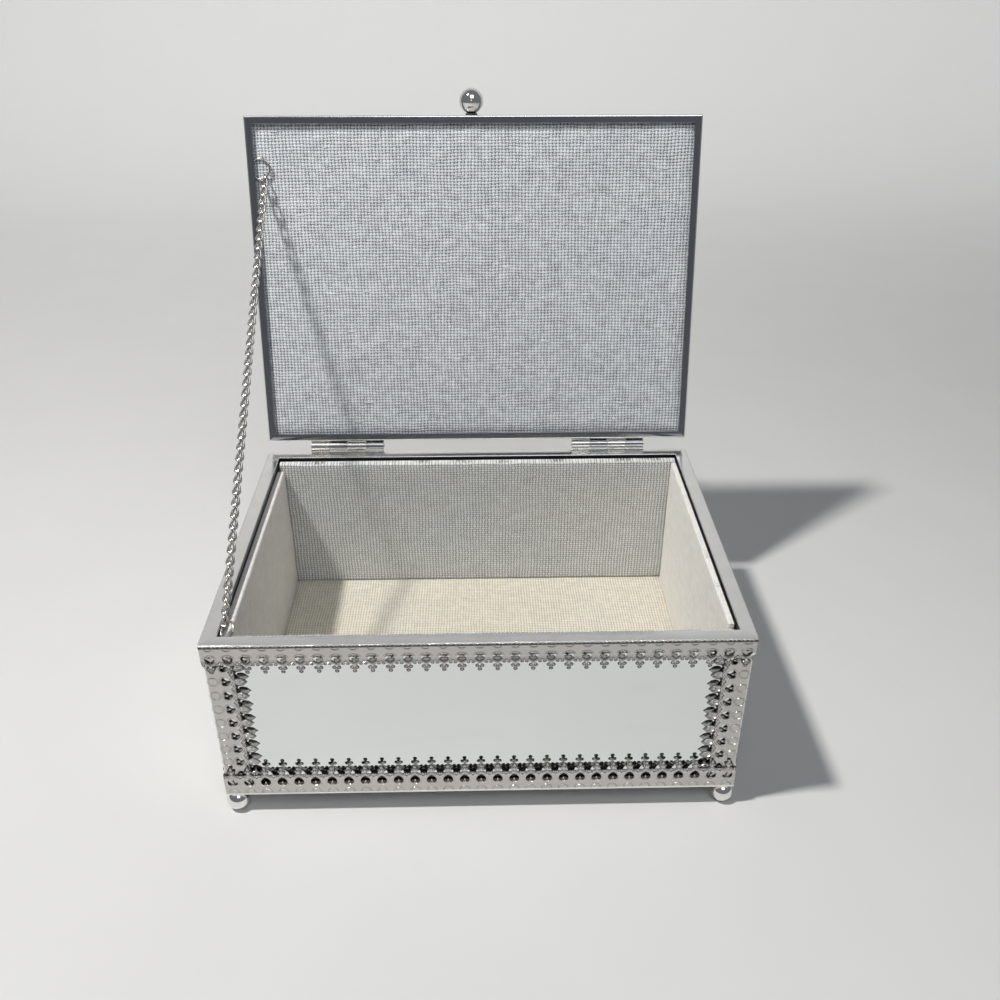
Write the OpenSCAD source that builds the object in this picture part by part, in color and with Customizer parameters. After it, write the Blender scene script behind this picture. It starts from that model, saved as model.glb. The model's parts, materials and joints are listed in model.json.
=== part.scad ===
// Casket box of silvered glass panels held in pierced metal strip, with a padded linen
// lining, a lid on two knuckle hinges and a chain that stops the lid.
// Millimetres. X is the width, Y runs to the hinges, Z is up, and Z = 0 is the plane
// that the feet stand on. The lid is drawn shut and then swung to its open stop.

/* [Body] */
// Width over the side strips
body_w = 200; // [180:1:220]
// Depth over the front and back strips
body_d = 146; // [136:1:160]
// Height of the body, from its lower edge to its rim
body_h = 74.5; // [68:0.5:80]

/* [Strips] */
// Thickness of the strip metal
strip_t = 0.5; // [0.4:0.05:0.6]
// Width of the polished ledge round the rim
ledge_w = 5.6; // [5.4:0.1:5.8]
// Depth of the lip that hangs from the ledge's inner edge
lip_h = 1.8; // [1.4:0.1:2]
// Width of the shelf under the body
shelf_w = 8; // [7:0.1:9]
// How far the corner posts stand behind the rails
post_inset = 0.6; // [0.6:0.05:1.15]
// Radius of the round piercings
hole_r = 1.45; // [1.2:0.05:1.6]

/* [Glass] */
// Thickness of the wall mirrors
glass_t = 3; // [2:0.1:3]
// Gap from the outer face of the rails to the mirrors
glass_inset = 2.3; // [2.2:0.1:2.4]
// Drop from the rim to the mirrors' top edges
glass_drop = 4.6; // [4.6:0.1:5]

/* [Lining] */
// Thickness of the padded wall boards
liner_t = 2.5; // [2:0.1:2.5]
// Distance between the side boards' inner faces
inside_w = 182.4; // [160:0.2:182.4]
// Distance between the front and back boards' inner faces
inside_d = 124; // [110:1:126]
// Depth from the rim to the lining's floor
inside_h = 67.9; // [60:0.1:67.9]
// Drop from the rim to the top edges of the side and back boards
liner_drop = 2.5; // [2:0.1:3]
// Further drop of the front board, which the chain's ring lies over
front_drop = 1; // [0.8:0.1:2]
// Further drop of the left board, which the chain folds over
left_drop = 2; // [1.8:0.1:2.4]

/* [Feet] */
// Radius of the ball feet
foot_r = 4.5; // [4:0.1:4.6]
// Height of the flat under each ball's widest level
foot_level = 4.3; // [3.8:0.1:4.3]
// Drop from the body's lower edge to the ball's centre
foot_drop = 5; // [4.8:0.1:5.5]

/* [Lid] */
// Depth of the lid, over its frame
lid_d = 145.6; // [135:0.1:145.6]
// Height of the lid's frame
lid_h = 5.45; // [5.2:0.05:6]
// Gap between the rim and the shut lid
lid_gap = 0.3; // [0.3:0.05:0.5]
// Width of the frame's lip on the lined side
lid_lip = 3.3; // [3:0.1:4]
// Width of the frame's lip on the outer side
lid_band = 5; // [4:0.1:6]
// Angle from shut to the open stop
lid_open = 102.4; // [60:0.1:102.4]
// Radius of the ball knob
knob_r = 5.3; // [4:0.1:5.5]

/* [Hinges] */
// Length of each hinge
hinge_len = 34.7; // [24:0.1:40]
// Distance from the middle to each hinge's centre
hinge_x = 62.6; // [40:0.1:70]
// Radius of the knuckles
knuckle_r = 1.93; // [1.7:0.01:1.95]
// Radius of the hinge pins
pin_r = 0.8; // [0.6:0.05:0.9]

/* [Chain] */
// Number of links, which is odd so that both end links hook a ring squarely
link_count = 43; // [43]
// Radius of the link wire
link_wire = 0.375; // [0.3:0.005:0.375]
// Radius of a link's round ends, to the middle of the wire
link_bend = 1.3; // [1:0.05:1.3]
// Radius of the lid ring, to the middle of its wire
lid_ring_r = 4.35; // [4:0.05:4.4]
// Radius of the body ring, to the middle of its wire
body_ring_r = 3.3; // [3.2:0.05:3.35]
// Radius of the wire of both rings
ring_wire = 0.43; // [0.35:0.01:0.43]

/* [Hidden] */
$fn = 48;
slack = 0.05;               // fitting gap between pieces of one assembly

// Levels
edge_z = foot_level + foot_drop;
rim_z = edge_z + body_h;
shelf_z = edge_z + strip_t;
board_t = 3;
board_z = shelf_z + slack;
floor_z = board_z + board_t + slack;
floor_t = rim_z - inside_h - floor_z;

// Strip pattern: period, depth of the band, tip of the finials and middle of the holes
pitch = 6.25;
top_band = 8.7;
top_tip = 12.7;
top_hole = 6.65;
foot_band = 10.2;
foot_tip = 14.6;
foot_hole = 7.6;
post_band = 10;
post_tip = 14.6;
post_hole = 7.1;
finial_w = 3;

// Feet: distance in from the sides and from the front and back, and the stud's radius
foot_in_x = 3.6;
foot_in_y = 3.5;
stud_r = 0.8;
nut_r = 1.75;
nut_t = 1.4;

// Lid, drawn shut. Everything on it is placed from lid_z, the underside of its frame
lid_z = rim_z + lid_gap;
lid_y = lid_d / 2 - body_d / 2;
lid_back = lid_y + lid_d / 2;
fill_inset = 2;
card_t = 1;
card_z = lid_z + 2.3;
lid_glass_t = 1.5;
lid_glass_z = card_z + card_t + 0.1;
knob_x = -1.2;
knob_reach = 5.9;
knob_flat = 0.85;

// Hinge line, and the knuckles along it
hinge_y = body_d / 2 + 2.47;
hinge_z = rim_z + 1.9;
knuckles = 4;
knuckle_len = hinge_len / knuckles;
knuckle_gap = 0.15;
leaf_t = 0.5;
leaf_h = 9;
rivet_r = 0.7;
rivet_x = 11;
rivet_z = rim_z - 3.6;
lid_rivet_z = rim_z + 4.4;

// Chain: where it hooks the lid ring (shut) and the body ring, and its links' pitch. The
// lid ring is tipped about Y, and the body ring is turned about the chain
chain_x = -92.6;
lid_ring_tip = 8;
lid_ring_pos = [-94.4, -51.2, lid_z + strip_t + 0.2];
hook_dx = chain_x - lid_ring_pos[0];
hook_shut = lid_ring_pos + [hook_dx,
    sqrt(pow(lid_ring_r, 2) - pow(hook_dx / cos(lid_ring_tip), 2)), -hook_dx * tan(lid_ring_tip)];
link_gap = 0.16;
ring_gap = 0.35;
links_per_run = 4;

function swing_yz(p, by) = let (y = p[1] - hinge_y, z = p[2] - hinge_z)
    [p[0], hinge_y + y * cos(by) - z * sin(by), hinge_z + y * sin(by) + z * cos(by)];

function turn_x(p, by) = [p[0], p[1] * cos(by) - p[2] * sin(by), p[1] * sin(by) + p[2] * cos(by)];

chain_top = swing_yz(hook_shut, -lid_open);
chain_end = [chain_x, -60.9, rim_z + 0.9];
chain_len = norm(chain_end - chain_top);
chain_dir = (chain_end - chain_top) / chain_len;
chain_turn = atan2(chain_dir[2], chain_dir[1]);
over_ring = link_wire + ring_wire + ring_gap;
link_step = (chain_len - 2 * link_wire - link_gap + 2 * over_ring) / link_count;
link_len = link_step + 2 * link_wire + link_gap;
ring_turn = 36;
ring_hook = 30;
ring_mid = [body_ring_r * sin(ring_hook) * cos(ring_turn), body_ring_r * cos(ring_hook),
    -body_ring_r * sin(ring_hook) * sin(ring_turn)];
ring_seat = chain_end + turn_x(ring_mid + [0, body_ring_r, 0], chain_turn);
eye_t = 0.5;
eye_r = 0.9;

silver = "silver";
glass = "lightsteelblue";
linen = "antiquewhite";

// Turns a piece drawn on the front (side 0) to the right, back or left (1, 2, 3)
module on_side(side, w, d) {
    rotate(90 * side) translate([0, side % 2 == 0 ? -d / 2 : -w / 2, 0]) children();
}

function side_len(side, w, d) = side % 2 == 0 ? w : d;

// A plate standing along X with its outer face at Y = from
module upright_plate(from, thick) {
    translate([0, from + thick, 0]) rotate([90, 0, 0]) linear_extrude(thick) children();
}

// A flat band along a side, with mitred ends
module mitred_band(len, from, to, thick) {
    linear_extrude(thick) polygon([[-len / 2 + from, from], [len / 2 - from, from],
        [len / 2 - to, to], [-len / 2 + to, to]]);
}

// One pierced strip lying along X: band, holes and a pointed finial over each hole
module pierced_strip(len, band, tip, hole_at) {
    count = floor(len / pitch);
    step = len / count;
    rise = tip - band;
    difference() {
        union() {
            translate([-len / 2, 0]) square([len, band]);
            for (i = [0 : count - 1])
                translate([(i + 0.5) * step - len / 2, band])
                    polygon([[-finial_w / 2, -slack], [-finial_w / 3, rise / 2],
                        [0, rise], [finial_w / 3, rise / 2], [finial_w / 2, -slack]]);
        }
        for (i = [0 : count - 1])
            translate([(i + 0.5) * step - len / 2, hole_at]) circle(r = hole_r);
    }
}

// A round bar or hole along Y
module bar_y(r, from, to) {
    translate([0, from, 0]) rotate([-90, 0, 0]) cylinder(h = to - from, r = r);
}

// A round bar or hole along X
module bar_x(r, from, to) {
    translate([from, 0, 0]) rotate([0, 90, 0]) cylinder(h = to - from, r = r);
}

// A wire ring lying flat round its centre
module wire_ring(r) {
    rotate_extrude() translate([r, 0]) circle(r = ring_wire);
}

module base_board() {
    inset = post_inset + strip_t + 0.2;
    notch = 8;
    color("burlywood") translate([0, 0, board_z]) linear_extrude(board_t) difference() {
        square([body_w - 2 * inset, body_d - 2 * inset], center = true);
        for (x = [-1, 1], y = [-1, 1])
            translate([x * body_w / 2, y * body_d / 2]) square(2 * notch, center = true);
    }
}

module base_cloth() {
    inset = shelf_w + 0.4;
    color("midnightblue") translate([0, 0, shelf_z - 0.4]) linear_extrude(0.4)
        square([body_w - 2 * inset, body_d - 2 * inset], center = true);
}

// Wall mirrors: the front and back ones run full width, the others stand between them
module wall_mirror(side) {
    trim = side % 2 == 0 ? glass_inset : glass_inset + glass_t + slack;
    len = side_len(side, body_w, body_d) - 2 * trim;
    color(glass) on_side(side, body_w, body_d)
        translate([-len / 2, glass_inset, floor_z])
            cube([len, glass_t, rim_z - glass_drop - floor_z]);
}

// Room under the ledge for the chain's ring, where the lips are cut back
module ring_relief() {
    translate([chain_x - 5.5, -72, rim_z - 8]) cube([10, 11.8, 8 - strip_t]);
}

// Holes for the rivets of the body leaves
module rivet_holes(z) {
    for (side = [-1, 1], end = [-1, 1])
        translate([side * hinge_x + end * rivet_x, 0, z])
            bar_y(rivet_r + slack, body_d / 2 - 3, body_d / 2 + 3);
}

// Top strip: pierced face, polished ledge and the lip along the ledge's inner edge
module top_rail(side) {
    len = side_len(side, body_w, body_d);
    face = side % 2 == 0 ? len : len - 2 * (strip_t + slack);
    color(silver) difference() {
        on_side(side, body_w, body_d) {
            translate([0, 0, rim_z - strip_t]) {
                upright_plate(0, strip_t) mirror([0, 1])
                    pierced_strip(face, top_band, top_tip, top_hole);
                mitred_band(len, 0, ledge_w, strip_t);
            }
            translate([ledge_w - len / 2, ledge_w - strip_t, rim_z - strip_t - lip_h])
                cube([len - 2 * ledge_w, strip_t, lip_h]);
        }
        if (side == 0 || side == 3) ring_relief();
        if (side == 2) rivet_holes(rivet_z);
    }
}

module foot_centres() {
    for (x = [-1, 1], y = [-1, 1])
        translate([x * (body_w / 2 - foot_in_x), y * (body_d / 2 - foot_in_y), 0])
            children();
}

// Bottom strip: pierced face and the shelf that carries the base board
module foot_rail(side) {
    len = side_len(side, body_w, body_d);
    face = side % 2 == 0 ? len : len - 2 * (strip_t + slack);
    color(silver) difference() {
        on_side(side, body_w, body_d) translate([0, 0, edge_z]) {
            translate([0, 0, strip_t]) upright_plate(0, strip_t)
                pierced_strip(face, foot_band, foot_tip, foot_hole);
            mitred_band(len, 0, shelf_w, strip_t);
        }
        foot_centres() translate([0, 0, edge_z - 1])
            cylinder(h = strip_t + 2, r = stud_r + slack);
    }
}

// One leaf of a corner post, in the plane of X, with its edge along Z
module post_leaf(tall) {
    upright_plate(0, strip_t) translate([0, tall / 2]) mirror([1, 0]) rotate(90)
        pierced_strip(tall, post_band, post_tip, post_hole);
}

// Corner post: two pierced leaves that meet at the corner
module corner_post(x, y) {
    tall = body_h - 2 * (strip_t + slack);
    color(silver) mirror([x > 0 ? 1 : 0, 0, 0]) mirror([0, y > 0 ? 1 : 0, 0])
        translate([post_inset - body_w / 2, post_inset - body_d / 2, shelf_z + slack]) {
            post_leaf(tall);
            mirror([1, -1, 0]) post_leaf(tall);
        }
}

module liner_floor() {
    inset = glass_inset + glass_t + 0.5;
    color(linen) translate([0, 0, floor_z]) linear_extrude(floor_t)
        square([body_w - 2 * inset, body_d - 2 * inset], center = true);
}

// Padded boards: the front and back ones run full width, the others stand between them
module wall_liner(side) {
    len = side % 2 == 0 ? inside_w + 2 * liner_t : inside_d - 2 * slack;
    from = side % 2 == 0 ? (body_d - inside_d) / 2 : (body_w - inside_w) / 2;
    low = rim_z - inside_h + slack;
    top = rim_z - liner_drop - (side == 0 ? front_drop : side == 3 ? left_drop : 0);
    color(linen) on_side(side, body_w, body_d)
        translate([-len / 2, from - liner_t, low]) cube([len, liner_t, top - low]);
}

// Ball foot with a flat underneath, a neck and a threaded stud
module ball_foot(x, y) {
    neck_r = 2.4;
    ball_top = foot_level + foot_r;
    stud_top = shelf_z + nut_t + 0.4;
    color(silver) translate([x * (body_w / 2 - foot_in_x), y * (body_d / 2 - foot_in_y), 0]) {
        intersection() {
            translate([0, 0, foot_level]) sphere(r = foot_r);
            translate([0, 0, foot_r]) cube(2 * foot_r, center = true);
        }
        translate([0, 0, ball_top - 1]) cylinder(h = edge_z - slack - ball_top + 1, r = neck_r);
        translate([0, 0, edge_z - 1]) cylinder(h = stud_top - edge_z + 1, r = stud_r);
    }
}

// Hexagon nut on a stud along Z
module hex_nut(thick) {
    difference() {
        cylinder(h = thick, r = nut_r, $fn = 6);
        translate([0, 0, -1]) cylinder(h = thick + 2, r = stud_r + slack);
    }
}

module foot_nuts() {
    color("gray") foot_centres() translate([0, 0, shelf_z + slack]) hex_nut(nut_t);
}

// Knuckles number first, first + 2 ... of a hinge, each with its pin hole, and the tang
// that joins each one to its leaf
module knuckle_set(first, tang_from, tang_z) {
    for (i = [first : 2 : knuckles - 1]) {
        from = -hinge_len / 2 + i * knuckle_len + knuckle_gap;
        to = from + knuckle_len - 2 * knuckle_gap;
        translate([0, hinge_y, hinge_z]) difference() {
            union() {
                bar_x(knuckle_r, from, to);
                translate([from, tang_from - hinge_y, tang_z])
                    cube([to - from, hinge_y - tang_from, leaf_t]);
            }
            bar_x(pin_r + slack, from - 1, to + 1);
        }
    }
}

// Leaf on the back rail
module body_leaf(side) {
    out = body_d / 2;
    color(silver) difference() {
        translate([side * hinge_x, 0, 0]) {
            translate([-hinge_len / 2, out, hinge_z - knuckle_r + leaf_t - leaf_h])
                cube([hinge_len, leaf_t, leaf_h]);
            knuckle_set(0, out, -knuckle_r);
        }
        rivet_holes(rivet_z);
    }
}

module hinge_pin(side) {
    color("gray") translate([side * hinge_x, hinge_y, hinge_z])
        bar_x(pin_r, -hinge_len / 2 - 0.3, hinge_len / 2 + 0.3);
}

// One rivet through plates that span Y from inner to outer, with a head at both ends
module rivet(inner, outer, head_r) {
    bar_y(rivet_r, inner - 0.1, outer + 0.1);
    bar_y(head_r, inner - 0.4, inner);
    bar_y(head_r, outer, outer + 0.4);
}

module body_rivets() {
    color("gray") for (side = [-1, 1], end = [-1, 1])
        translate([side * hinge_x + end * rivet_x, 0, rivet_z])
            rivet(body_d / 2 - strip_t, body_d / 2 + leaf_t, 1.2);
}

// Tab under the front ledge that the chain's ring turns in
module ring_eye() {
    low = ring_seat[2] - eye_r - 0.4;
    back = ring_seat[1] + eye_r + 0.4;
    front = ledge_w - body_d / 2 - 1.6;
    color(silver) difference() {
        translate([ring_seat[0] - eye_t / 2, front, low])
            cube([eye_t, back - front, rim_z - strip_t - low]);
        translate(ring_seat) bar_x(eye_r, -1, 1);
    }
}

// Swings what was drawn on the shut lid to the open stop
module opened() {
    translate([0, hinge_y, hinge_z]) rotate([-lid_open, 0, 0])
        translate([0, -hinge_y, -hinge_z]) children();
}

// One side of the lid's frame: a channel with mitred lips, open inwards
module lid_frame(side) {
    len = side_len(side, body_w, lid_d);
    wall = side % 2 == 0 ? len : len - 2 * (strip_t + slack);
    color(silver) opened() difference() {
        translate([0, lid_y, lid_z]) on_side(side, body_w, lid_d) {
            mitred_band(len, 0, lid_lip, strip_t);
            translate([-wall / 2, 0, 0]) cube([wall, strip_t, lid_h]);
            translate([0, 0, lid_h - strip_t]) mitred_band(len, 0, lid_band, strip_t);
        }
        if (side == 0)
            translate([knob_x, 0, lid_z + lid_h / 2])
                bar_y(stud_r + slack, -body_d / 2 - 1, -body_d / 2 + 1);
        if (side == 2) rivet_holes(lid_rivet_z);
    }
}

// A sheet that fills the lid's frame between levels low and low + thick
module lid_sheet(low, thick) {
    opened() translate([0, lid_y, low]) linear_extrude(thick)
        square([body_w - 2 * fill_inset, lid_d - 2 * fill_inset], center = true);
}

module lid_mirror() { color(glass) lid_sheet(lid_glass_z, lid_glass_t); }

module lid_lining() { color(linen) lid_sheet(card_z, card_t); }

// Leaf on the lid's back edge
module lid_leaf(side) {
    low = rim_z + 1.2;
    color(silver) opened() difference() {
        translate([side * hinge_x, 0, 0]) {
            translate([-hinge_len / 2, lid_back, low])
                cube([hinge_len, leaf_t, lid_z + lid_h - low]);
            knuckle_set(1, lid_back, knuckle_r - leaf_t - 0.3);
        }
        rivet_holes(lid_rivet_z);
    }
}

module lid_rivets() {
    color("gray") opened() for (side = [-1, 1], end = [-1, 1])
        translate([side * hinge_x + end * rivet_x, 0, lid_rivet_z])
            rivet(lid_back - strip_t, lid_back + leaf_t, 0.8);
}

// Places a piece on the knob's axis, with Y = 0 at the frame's outer face
module at_knob() {
    opened() translate([knob_x, -body_d / 2, lid_z + lid_h / 2]) children();
}

module lid_knob() {
    color(silver) at_knob() {
        difference() {
            translate([0, -knob_reach, 0]) sphere(r = knob_r);
            translate([-knob_r, -knob_flat, -knob_r]) cube(2 * knob_r);
        }
        bar_y(stud_r, -knob_flat - 1, 2);
    }
}

module knob_collar() {
    color("dimgray") at_knob() difference() {
        bar_y(2.6, slack - knob_flat, -slack);
        bar_y(stud_r + slack, -2, 1);
    }
}

module knob_nut() {
    color("gray") at_knob() translate([0, strip_t + slack, 0]) rotate([-90, 0, 0])
        hex_nut(1.2);
}

module lid_ring() {
    color(silver) opened() translate(lid_ring_pos) rotate([0, lid_ring_tip, 0])
        wire_ring(lid_ring_r);
}

// Places a piece at a distance along the chain, with +Y along it
module on_chain(along) {
    translate(chain_top + along * chain_dir) rotate([chain_turn, 0, 0]) children();
}

module body_ring() {
    color(silver) on_chain(chain_len) translate(ring_mid) rotate([0, ring_turn, 0])
        wire_ring(body_ring_r);
}

// Oval wire link along Y, from the middle of its near end's wire
module chain_link() {
    straight = link_len - 2 * link_bend;
    translate([0, link_bend, 0]) {
        for (x = [-1, 1]) translate([x * link_bend, 0, 0]) bar_y(link_wire, 0, straight);
        rotate(180) rotate_extrude(angle = 180) translate([link_bend, 0])
            circle(r = link_wire);
        translate([0, straight, 0]) rotate_extrude(angle = 180)
            translate([link_bend, 0]) circle(r = link_wire);
    }
}

// One run of the chain: links by turns upright and flat. The last run has one fewer
module chain_run(run) {
    first = (run - 1) * links_per_run;
    last = min(first + links_per_run, link_count) - 1;
    color(silver) for (i = [first : last])
        on_chain(i * link_step - over_ring) rotate([0, i % 2 == 0 ? 90 : 0, 0]) chain_link();
}

base_board();
base_cloth();
wall_mirror(0);  // mirror_front
wall_mirror(1);  // mirror_right
wall_mirror(2);  // mirror_back
wall_mirror(3);  // mirror_left
top_rail(0);  // rail_top_front
top_rail(1);  // rail_top_right
top_rail(2);  // rail_top_back
top_rail(3);  // rail_top_left
foot_rail(0);  // rail_foot_front
foot_rail(1);  // rail_foot_right
foot_rail(2);  // rail_foot_back
foot_rail(3);  // rail_foot_left
corner_post(-1, -1);  // post_front_left
corner_post(1, -1);  // post_front_right
corner_post(1, 1);  // post_back_right
corner_post(-1, 1);  // post_back_left
liner_floor();
wall_liner(0);  // liner_front
wall_liner(1);  // liner_right
wall_liner(2);  // liner_back
wall_liner(3);  // liner_left
ball_foot(-1, -1);  // foot_front_left
ball_foot(1, -1);  // foot_front_right
ball_foot(1, 1);  // foot_back_right
ball_foot(-1, 1);  // foot_back_left
foot_nuts();
body_leaf(-1);  // hinge_left_body_leaf
body_leaf(1);  // hinge_right_body_leaf
hinge_pin(-1);  // hinge_left_pin
hinge_pin(1);  // hinge_right_pin
body_rivets();
ring_eye();
lid_frame(0);  // lid_frame_front
lid_frame(1);  // lid_frame_right
lid_frame(2);  // lid_frame_back
lid_frame(3);  // lid_frame_left
lid_mirror();
lid_lining();
lid_leaf(-1);  // hinge_left_lid_leaf
lid_leaf(1);  // hinge_right_lid_leaf
lid_rivets();
lid_knob();
knob_collar();
knob_nut();
lid_ring();
body_ring();
chain_run(1);  // chain_run_1
chain_run(2);  // chain_run_2
chain_run(3);  // chain_run_3
chain_run(4);  // chain_run_4
chain_run(5);  // chain_run_5
chain_run(6);  // chain_run_6
chain_run(7);  // chain_run_7
chain_run(8);  // chain_run_8
chain_run(9);  // chain_run_9
chain_run(10);  // chain_run_10
chain_run(11);  // chain_run_11
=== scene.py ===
"""Casket box of silvered glass in pierced metal strip: finishes, fine work, light."""
import json
import math
import random

import bpy
import numpy as np
from mathutils import Matrix, Vector, noise
from mathutils.geometry import tessellate_polygon


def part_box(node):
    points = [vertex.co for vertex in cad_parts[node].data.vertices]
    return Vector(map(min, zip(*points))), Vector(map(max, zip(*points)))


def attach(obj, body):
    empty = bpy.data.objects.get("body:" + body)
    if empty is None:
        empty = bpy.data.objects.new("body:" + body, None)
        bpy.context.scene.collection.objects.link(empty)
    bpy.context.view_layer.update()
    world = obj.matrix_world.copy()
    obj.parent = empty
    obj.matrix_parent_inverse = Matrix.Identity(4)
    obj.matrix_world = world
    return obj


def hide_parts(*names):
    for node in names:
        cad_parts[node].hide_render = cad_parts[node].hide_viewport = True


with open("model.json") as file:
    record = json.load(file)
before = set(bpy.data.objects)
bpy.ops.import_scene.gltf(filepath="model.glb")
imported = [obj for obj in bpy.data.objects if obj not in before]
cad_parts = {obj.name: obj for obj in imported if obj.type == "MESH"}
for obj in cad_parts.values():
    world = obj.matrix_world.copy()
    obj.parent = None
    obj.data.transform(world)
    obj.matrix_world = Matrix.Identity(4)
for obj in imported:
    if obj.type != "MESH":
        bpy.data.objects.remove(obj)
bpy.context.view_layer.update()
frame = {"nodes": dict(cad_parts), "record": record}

MM = 0.001
dice = random.Random(7)

# ---------------------------------------------------------------- sizes, in millimetres
BODY_W, BODY_D = 200.0, 146.0
LOW, RIM = 9.3, 83.8                 # the body's lower edge and its rim
INNER_W, INNER_D = 187.4, 129.0      # the space that the wall boards line
LEDGE, SHELF = 5.6, 8.0              # widths of the ledge and of the shelf
POST_IN = 0.6                        # posts stand this far behind the rails
LID_D, LID_H, LID_Z = 145.6, 5.45, 84.1
LID_LIP, LID_BAND = 3.3, 5.0         # widths of the lid frame's inner and outer lips
HINGE_Y, HINGE_Z, OPEN_TO = 75.47, 85.7, math.radians(102.4)
REPEAT = 6.25                        # length of one repeat of the strip
FACE_IN = 0.2                        # from the rails' outer plane in to the strip's face
SIDES = ("front", "right", "back", "left")


# ------------------------------------------------------------------------ camera
def set_camera():
    """A camera in front of the box that looks down on it."""
    stand = (0.64, -350.19, 307.85)
    yaw, pitch, roll = (math.radians(a) for a in (-1.354, 30.770, 0.064))
    level = Vector((-math.sin(yaw), math.cos(yaw), 0))
    side = Vector((math.cos(yaw), math.sin(yaw), 0))
    ahead = math.cos(pitch) * level - Vector((0, 0, math.sin(pitch)))
    over = math.sin(pitch) * level + Vector((0, 0, math.cos(pitch)))
    right = math.cos(roll) * side + math.sin(roll) * over
    up = math.cos(roll) * over - math.sin(roll) * side
    data = bpy.data.cameras.new("camera")
    data.sensor_width, data.lens = 36.0, 35.72
    data.clip_start, data.clip_end = 0.01, 20.0
    camera = bpy.data.objects.new("camera", data)
    place = Matrix((right, up, -ahead)).transposed().to_4x4()
    place.translation = Vector(stand) * MM
    camera.matrix_world = place
    bpy.context.scene.collection.objects.link(camera)
    bpy.context.scene.camera = camera


set_camera()


# ------------------------------------------------------------------- shader arithmetic
class Value:
    """A shader socket that takes arithmetic; each operation adds its Math node."""

    def __init__(self, maker, socket):
        self.maker, self.socket = maker, socket

    def math(self, operation, *others):
        inputs = dict(enumerate((self,) + others))
        return self.maker.node("Math", inputs, operation=operation)

    def flipped(self, operation, other):
        return self.maker.node("Math", {0: other, 1: self}, operation=operation)

    def __add__(self, other): return self.math("ADD", other)
    def __radd__(self, other): return self.flipped("ADD", other)
    def __sub__(self, other): return self.math("SUBTRACT", other)
    def __rsub__(self, other): return self.flipped("SUBTRACT", other)
    def __mul__(self, other): return self.math("MULTIPLY", other)
    def __rmul__(self, other): return self.flipped("MULTIPLY", other)
    def __truediv__(self, other): return self.math("DIVIDE", other)
    def __rtruediv__(self, other): return self.flipped("DIVIDE", other)

    def floor(self): return self.math("FLOOR")
    def cos(self): return self.math("COSINE")
    def abs(self): return self.math("ABSOLUTE")
    def root(self): return self.math("SQRT")
    def above(self, low): return self.math("MAXIMUM", low)
    def below(self, high): return self.math("MINIMUM", high)

    def ramp(self, start, end):
        """Runs smoothly from 0 to 1 as the value goes from start to end."""
        return self.maker.node("MapRange", {
            "Value": self, "From Min": start, "From Max": end},
            interpolation_type="SMOOTHSTEP")


class Nodes:
    """A node tree under construction: every node comes from node()."""

    def __init__(self, tree):
        self.tree = tree

    def feed(self, socket, value):
        """Links a socket, or sets it; a colour gets its fourth number here."""
        if isinstance(value, Value):
            self.tree.links.new(value.socket, socket)
        elif isinstance(value, (tuple, list)) and len(socket.default_value) > len(value):
            socket.default_value = (*value, 1.0)
        else:
            socket.default_value = value

    def node(self, kind, sockets, out=0, **settings):
        """Adds a node: its settings first, then the values or links of its sockets."""
        made = self.tree.nodes.new("ShaderNode" + kind)
        for name, value in settings.items():
            setattr(made, name, value)
        for name, value in sockets.items():
            self.feed(made.inputs[name], value)
        return Value(self, made.outputs[out])


class Finish(Nodes):
    """One material under construction, with the few nodes that every finish needs."""

    def __init__(self, name, **constants):
        self.material = bpy.data.materials.new(name)
        self.material.use_nodes = True
        super().__init__(self.material.node_tree)
        self.shader = self.tree.nodes["Principled BSDF"]
        self.set(**constants)

    def set(self, **sockets):
        """Feeds the shader's sockets, whose names have _ for a space here."""
        for name, value in sockets.items():
            self.feed(self.shader.inputs[name.replace("_", " ")], value)

    def place(self):
        """Position on the piece, in millimetres."""
        spot = self.node("TexCoord", {}, out="Object")
        return self.node("VectorMath", {0: spot, "Scale": 1 / MM}, operation="SCALE")

    def along(self, place, axis):
        return self.node("VectorMath", {0: place, 1: axis}, out="Value",
                         operation="DOT_PRODUCT")

    def point(self, x, y, z):
        return self.node("CombineXYZ", {0: x, 1: y, 2: z})

    def noise(self, place, size, detail=2.0, rough=0.5):
        """Cloudy variation of about 0 to 1, whose blotches are size millimetres wide."""
        return self.node("TexNoise", {"Vector": place, "Scale": 1.0 / size,
                                      "Detail": detail, "Roughness": rough})

    def stretched(self, place, sizes, detail):
        """Noise whose blotches have a different size, in millimetres, along each axis."""
        squeezed = self.node("VectorMath", {0: place, 1: tuple(1 / s for s in sizes)},
                             operation="MULTIPLY")
        return self.node("TexNoise", {"Vector": squeezed, "Scale": 1.0,
                                      "Detail": detail})

    def mix(self, share, first, second, blend="MIX"):
        return self.node("Mix", {0: share, 6: first, 7: second}, out=2,
                         data_type="RGBA", blend_type=blend)

    def bump(self, height, depth):
        """Relief of depth millimetres between height 0 and height 1."""
        return self.node("Bump", {"Height": height, "Distance": depth * MM})


# ------------------------------------------------------------------------- finishes
def bright_metal(name, tone, rough, grain, wear, waves):
    """Nickel-plated metal: faint scratches along its length, smudges and soft dents.
    grain is the size of a scratch along each axis, and waves the depth of the dents."""
    finish = Finish(name, Metallic=1.0)
    place = finish.place()
    smudge = finish.noise(place, 14.0, 4.0)
    scratch = finish.stretched(place, grain, 3.0).ramp(0.56, 0.74)
    pits = finish.noise(place, 0.7, 3.0).ramp(0.62, 0.76)
    dull = tuple(c * 0.8 for c in tone)
    finish.set(
        Base_Color=finish.mix(smudge.ramp(0.35, 0.8) * 0.35 + pits * 0.25, tone, dull),
        Roughness=rough + smudge.ramp(0.4, 0.75) * wear + scratch * wear
        + pits * wear * 0.8,
        Normal=finish.bump(finish.noise(place, 11.0, 2.0) + scratch * 0.02, waves))
    return finish.material


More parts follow.
